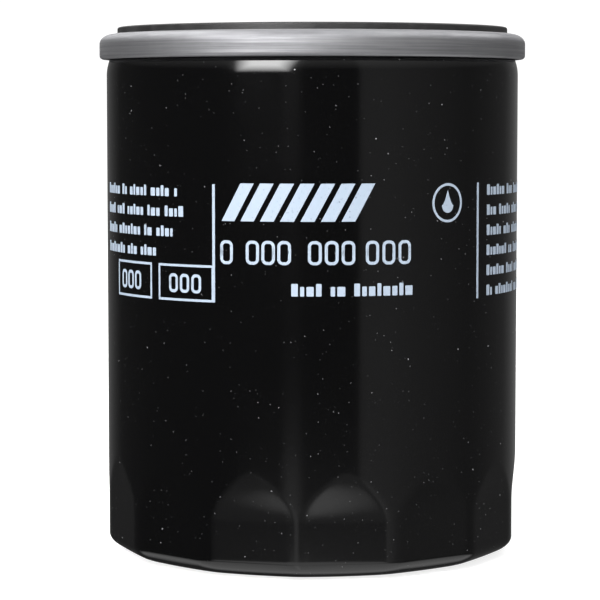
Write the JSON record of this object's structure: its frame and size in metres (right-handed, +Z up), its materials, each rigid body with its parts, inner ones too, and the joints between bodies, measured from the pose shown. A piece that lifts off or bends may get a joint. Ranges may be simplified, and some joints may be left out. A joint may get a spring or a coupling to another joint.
{
  "type": "spin-on oil filter",
  "caption": "Spin-on oil filter: painted steel can with wrench flats, rolled seam, rubber gasket, threaded plate, pleated element, drainback and bypass valves.",
  "frame": {"origin": "centre of the closed end's base, which the filter stands on", "axes": "+Z up the filter's axis, out of the threaded end; -Y is the front, where the printed panel is"},
  "size_m": [0.076, 0.076, 0.0935],
  "materials": {
    "black_paint": "gloss",
    "white_ink": "satin",
    "tinned_steel": "satin",
    "plate_steel": "satin",
    "zinc_steel": "satin",
    "spring_steel": "satin",
    "black_rubber": "matte",
    "compound": "matte",
    "adhesive": "satin",
    "filter_paper": "matte"
  },
  "bodies": {
    "housing": {"canister": "black_paint", "seaming_lid": "tinned_steel", "seam_compound": "compound", "tapping_plate": "plate_steel", "gasket": "black_rubber", "support_spring": "spring_steel"},
    "element": {"upper_end_cap": "zinc_steel", "lower_end_cap": "zinc_steel", "upper_potting": "adhesive", "lower_potting": "adhesive", "centre_tube": "zinc_steel", "filter_paper": "filter_paper", "paper_seam_clip": "zinc_steel", "element_guide": "zinc_steel", "bypass_seat": "zinc_steel", "bypass_cage": "zinc_steel", "bypass_spring": "spring_steel"},
    "bypass_valve": {"bypass_disc": "zinc_steel", "bypass_seal": "black_rubber"},
    "drainback_flap": {"anti_drainback_valve": "black_rubber"}
  },
  "joints": [
    {"name": "element_slide", "type": "slide", "parent": "housing", "child": "element", "axis": [0, 0, 1], "range_m": [-0.0015, 0], "stiffness_N_per_m": 12000, "springref_m": 0.005, "deforming": ["support_spring"]},
    {"name": "bypass_opening", "type": "slide", "parent": "element", "child": "bypass_valve", "axis": [0, 0, 1], "range_m": [0, 0.003], "stiffness_N_per_m": 1000, "springref_m": -0.008, "deforming": ["bypass_spring"]},
    {"name": "drainback_opening", "type": "slide", "parent": "housing", "child": "drainback_flap", "axis": [0, 0, 1], "range_m": [-0.0025, 0], "stiffness_N_per_m": 300, "springref_m": 0.004, "deforming": ["anti_drainback_valve"]}
  ]
}
